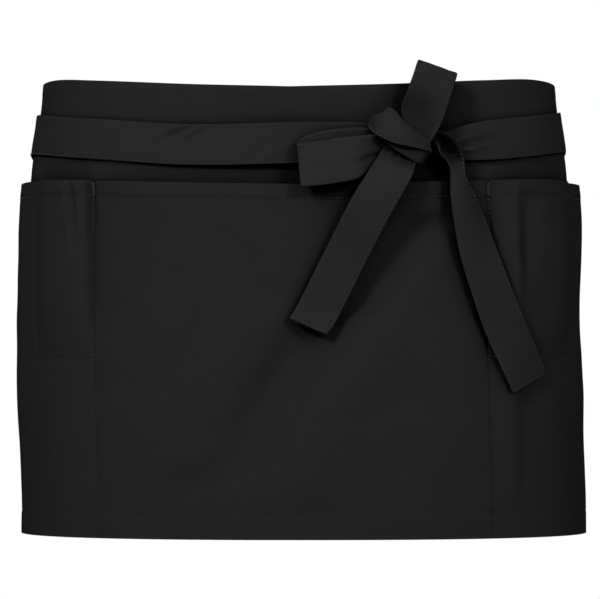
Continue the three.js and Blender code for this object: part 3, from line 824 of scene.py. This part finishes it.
# rows hold acrossL, upL, outL, acrossR, upR, outR, belly out, belly across, as shares of tieWidth
# pleats hold across, width, length and height in mm
bow = {
    "loopLeftCloth": {
        "node": "bow_loop_left", "count": 110, "across": 21, "seed": 13, "fine": 0.35, "broad": 0.7,
        "sewnEdge": "left",
        "pleats": [(7, 2.2, 22, -0.9), (14, 2.6, 30, 0.8), (19, 2.0, 34, -1.0)],
        "rows": [
            (-0.6, 0.2, 0.5, -0.7, -0.45, 0.5),
            (-0.85, 0.21, 0.62, -0.92, -0.6, 0.52, 0.04),
            (-1.39, 0.15, 0.7, -1.27, -0.88, 0.5, 0.08),
            (-2.0, 0.06, 0.72, -1.86, -1.0, 0.5, 0.04),
            (-2.5, 0.01, 0.68, -2.4, -1.06, 0.48),
            (-2.71, 0.02, 0.54, -2.61, -1.06, 0.48),
            (-2.5, 0.17, 0.42, -2.42, -0.9, 0.38),
            (-2.0, 0.31, 0.4, -1.95, -0.74, 0.36),
            (-1.4, 0.38, 0.4, -1.35, -0.64, 0.37),
            (-0.87, 0.38, 0.4, -0.9, -0.5, 0.4),
        ],
    },
    "loopUpperCloth": {
        "node": "bow_loop_upper", "count": 90, "across": 21, "seed": 14, "fine": 0.2, "broad": 0.3,
        "sewnEdge": "right",
        "pleats": [(8, 3.0, 22, -1.2), (19, 2.5, 18, 0.7)],
        "rows": [
            (-0.12, 0.5, 0.42, 0.46, -0.12, 0.52),
            (-0.16, 0.88, 0.42, 0.76, 0.38, 0.62, -0.12),
            (0.0, 1.34, 0.6, 0.99, 1.0, 0.74, -0.03),
            (0.12, 1.67, 0.66, 1.1, 1.36, 0.74),
            (0.22, 1.97, 0.58, 1.2, 1.66, 0.62),
            (0.25, 2.04, 0.44, 1.22, 1.72, 0.46),
            (0.22, 1.93, 0.3, 1.2, 1.62, 0.32),
            (0.08, 1.5, 0.2, 1.05, 1.2, 0.24),
            (-0.05, 1.05, 0.18, 0.85, 0.72, 0.22),
            (-0.05, 0.7, 0.2, 0.55, 0.3, 0.22),
        ],
    },
    "endLeftCloth": {
        "node": "tie_end_left", "count": 110, "across": 21, "seed": 12, "fine": 0.15, "broad": 0.4,
        "sewnEdge": "right",
        "pleats": [(7, 1.8, 26, 0.7), (11, 1.6, 24, -0.9), (18, 2.0, 20, -0.7)],
        "rows": [
            (-0.5, 0.05, 0.46, 0.22, -0.4, 0.46),
            (-0.8, -0.42, 0.72, 0.06, -0.86, 0.66, 0.04),
            (-1.4, -1.39, 0.5, -0.5, -1.86, 0.48),
            (-2.03, -2.62, 0.28, -1.13, -3.09, 0.3),
            (-2.64, -3.84, 0.2, -1.74, -4.31, 0.24),
            (-2.9, -4.28, 0.22, -2.0, -4.68, 0.28),
        ],
    },
    "endRightCloth": {
        "node": "tie_end_right", "count": 120, "across": 21, "seed": 13, "fine": 0.15, "broad": 0.4,
        "sewnEdge": "right",
        "pleats": [],
        "rows": [
            (0.62, 0.02, 0.42, 0.66, 0.33, 0.42, -0.1),
            (0.73, -0.04, 0.56, 0.84, 0.3, 0.5, -0.28),
            (0.8, -0.24, 0.62, 1.14, 0.13, 0.58, -0.42, -0.02),
            (0.94, -0.4, 0.6, 1.33, -0.17, 0.56, -0.34, -0.02),
            (1.02, -0.6, 0.52, 1.39, -0.46, 0.46, -0.08),
            (1.03, -0.9, 0.46, 1.43, -0.84, 0.38, 0.02),
            (1.05, -1.39, 0.42, 1.72, -1.42, 0.28, 0.2),
            (1.24, -2.58, 0.3, 2.12, -2.42, 0.24, 0.1),
            (1.57, -3.7, 0.22, 2.5, -3.38, 0.18),
            (1.97, -4.78, 0.2, 2.9, -4.35, 0.16),
            (2.6, -6.11, 0.18, 3.46, -5.62, 0.15),
        ],
    },
    "knotCloth": {
        "node": "bow_knot", "count": 60, "across": 21, "seed": 5, "fine": 0.25, "broad": 0.4,
        "sewnEdge": "left",
        "pleats": [],
        "rows": [
            (-1.0, 0.42, 0.46, -0.86, 0.68, 0.46),
            (-0.8, 0.2, 0.76, -0.66, 0.72, 0.64, 0.06),
            (-0.37, -0.01, 0.92, -0.42, 0.85, 0.68, 0.12),
            (0.05, -0.1, 0.94, -0.02, 0.44, 0.84, 0.05),
            (0.56, -0.22, 0.66, 0.5, 0.06, 0.68),
        ],
    },
    "knotUnderCloth": {
        "node": "", "count": 50, "across": 15, "seed": 6, "fine": 0.2, "broad": 0.3,
        "sewnEdge": "right",
        "pleats": [],
        "rows": [
            (-0.8, 0.18, 0.6, -0.68, 0.36, 0.6),
            (-0.39, -0.12, 0.76, -0.2, 0.16, 0.78),
            (-0.02, -0.36, 0.72, 0.2, 0.0, 0.8),
            (0.24, -0.5, 0.6, 0.48, -0.12, 0.68),
            (0.38, -0.48, 0.42, 0.6, -0.14, 0.48),
        ],
    },
}


def softWrinkles(seed, fine, broad, pleats):
    def lift(uv):
        soft = fine * rough(uv * np.array([1.0, 0.5]), 7, seed) + broad * rough(uv, 22, seed + 2)
        return soft + pleatsFromKnot(uv, pleats)
    return lift


bowCloths, bowLengths = {}, {}
for name, made in bow.items():
    wrinkles = softWrinkles(made["seed"], made["fine"], made["broad"], made["pleats"])
    bowCloths[name], bowLengths[name] = ribbonPiece(
        name, bowRows(made["rows"]), made["count"], made["across"], wrinkles, made["sewnEdge"],
    )
    if made["node"]:
        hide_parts(made["node"])
    print(name, round(bowLengths[name]))

tieStitches = []
for name, lines in sewnRows.items():
    pitch = tie["beltPitch"] if "wrap" in name or "loop" in name else tie["endPitch"]
    for line, normals in lines[:2 if "loop" in name else 1]:  # both faces of the loops can be seen
        tieStitches += stitchesOnLine(line, normals, pitch, 2)
for name in ("endLeftCloth", "endRightCloth"):
    line, normals = hemRows[name]
    tieStitches += stitchesOnLine(line, normals, tie["endPitch"], 1)
tieStitchPiece = stitchMesh("tieStitches", tieStitches, tie["stitchWidth"], highlightedTieThread)
print("tie stitches", len(tieStitches))

# floor, sky and lights, in metres
studio = {
    "floorDown": 1.1, "floorSize": 3.5, "paper": 1.0, "room": 0.1, "beam": 0.4,  # beam: radius at the target
    "keys": [  # place, target, watts
        ("keyRight", (1.9, -2.7, 1.5), (-0.06, 0, -0.1), 2600),
        ("keyLeft", (-1.8, -2.8, 1.8), (0, 0, -0.1), 4300),
    ],
}
bpy.ops.mesh.primitive_circle_add(
    vertices=96, radius=studio["floorSize"], fill_type="NGON", location=(0, 0, -studio["floorDown"]),
)
floor = bpy.context.active_object
floor.name = "floor"
paint = newMaterial("floorPaint")  # matt white, so it gives back light with no highlight
addNode(paint.node_tree, "Principled BSDF", {"Base Color": hexColor("f4f4f3"), "Roughness": 0.9})
floor.data.materials.append(paint)

world = bpy.data.worlds.new("studio")
bpy.context.scene.world = world
world.use_nodes = True
tree = world.node_tree
place = addNode(tree, "ShaderNodeTexCoord", {})
split = addNode(tree, "ShaderNodeSeparateXYZ", {"Vector": place.outputs["Generated"]})
facing = addNode(tree, "ShaderNodeMath", {0: split.outputs["Y"]}, operation="ABSOLUTE")
fade = addNode(tree, "ShaderNodeMapRange", {  # white paper before and behind, a dark room at the sides
    "Value": facing.outputs["Value"], "From Min": 0.8, "From Max": 0.95,
    "To Min": studio["room"], "To Max": studio["paper"],
})
addNode(tree, "Background", {"Color": fade.outputs["Result"]})


def addLamp(name, kind, place, target, watts, **settings):
    data = bpy.data.lights.new(name, kind)
    data.energy = watts
    for key, value in settings.items():
        setattr(data, key, value)
    lamp = bpy.data.objects.new(name, data)
    lamp.location = place
    lamp.rotation_euler = (Vector(target) - Vector(place)).to_track_quat("-Z", "Y").to_euler()
    bpy.context.collection.objects.link(lamp)


for name, place, target, watts in studio["keys"]:
    angle = 2 * math.atan(studio["beam"] / math.dist(place, target))
    addLamp(name, "SPOT", place, target, watts, spot_size=angle, spot_blend=0.6, shadow_soft_size=0.45)
addLamp("back", "AREA", (0, 3.3, 1.3), (0, 0, -0.1), 500, shape="RECTANGLE", size=1.2, size_y=1.2)
bpy.context.scene.view_settings.view_transform = "Standard"
bpy.context.scene.view_settings.look = "None"
print("studio ready")
